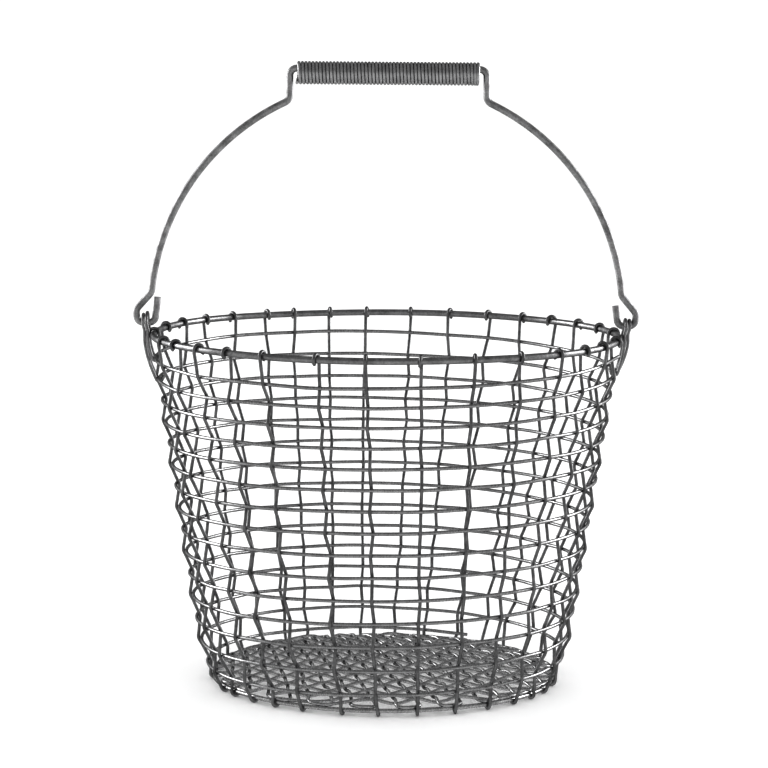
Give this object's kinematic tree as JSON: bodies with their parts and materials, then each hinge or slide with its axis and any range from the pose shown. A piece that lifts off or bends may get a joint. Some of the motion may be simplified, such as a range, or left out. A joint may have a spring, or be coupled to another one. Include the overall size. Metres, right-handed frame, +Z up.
{
  "type": "onion basket",
  "caption": "Tapered bucket basket hand-woven from steel wire, with a swinging wire bail and a loose wire-wound grip.",
  "frame": {"origin": "on the floor, under the middle of the basket", "axes": "+Z up, X from the left ear to the right ear, front of the basket towards -Y"},
  "size_m": [0.3494, 0.329, 0.4286],
  "materials": {
    "rim_steel": "bare drawn steel wire, worn bright",
    "upright_steel": "bare drawn steel wire, dull grey",
    "weft_steel": "bare drawn steel wire, satin",
    "base_steel": "bare drawn steel wire, dull grey",
    "ear_steel": "bare drawn steel wire, dark",
    "bail_steel": "bare steel rod, dark and mottled",
    "grip_steel": "bare drawn steel wire, close wound"
  },
  "bodies": {
    "basket": {"rim_ring": "rim_steel", "weft_wire": "weft_steel", "base_ring": "base_steel", "base_wire_across": "base_steel", "base_wire_along": "base_steel", "ear_left_inner": "ear_steel", "ear_left_outer": "ear_steel", "ear_right_inner": "ear_steel", "ear_right_outer": "ear_steel", "stake_01": "upright_steel", "stake_02": "upright_steel", "stake_03": "upright_steel", "stake_04": "upright_steel", "stake_05": "upright_steel", "stake_06": "upright_steel", "stake_07": "upright_steel", "stake_08": "upright_steel", "stake_09": "upright_steel", "stake_10": "upright_steel", "stake_11": "upright_steel", "stake_12": "upright_steel", "stake_13": "upright_steel", "stake_14": "upright_steel", "stake_15": "upright_steel", "stake_16": "upright_steel", "stake_17": "upright_steel", "stake_18": "upright_steel", "stake_19": "upright_steel", "stake_20": "upright_steel", "stake_21": "upright_steel", "stake_22": "upright_steel", "stake_23": "upright_steel", "stake_24": "upright_steel", "stake_25": "upright_steel", "stake_26": "upright_steel", "stake_27": "upright_steel", "stake_28": "upright_steel", "stake_29": "upright_steel", "stake_30": "upright_steel", "stake_31": "upright_steel"},
    "bail": {"bail": "bail_steel"},
    "grip": {"grip_winding": "grip_steel"}
  },
  "joints": [
    {"name": "bail_swing", "type": "hinge", "parent": "basket", "child": "bail", "pos_m": [0, 0, 0.24849], "axis": [1, 0, 0], "range_deg": [-91, 91]},
    {"name": "grip_spin", "type": "hinge", "parent": "bail", "child": "grip", "pos_m": [0, 0, 0.42065], "axis": [1, 0, 0], "continuous": true}
  ]
}
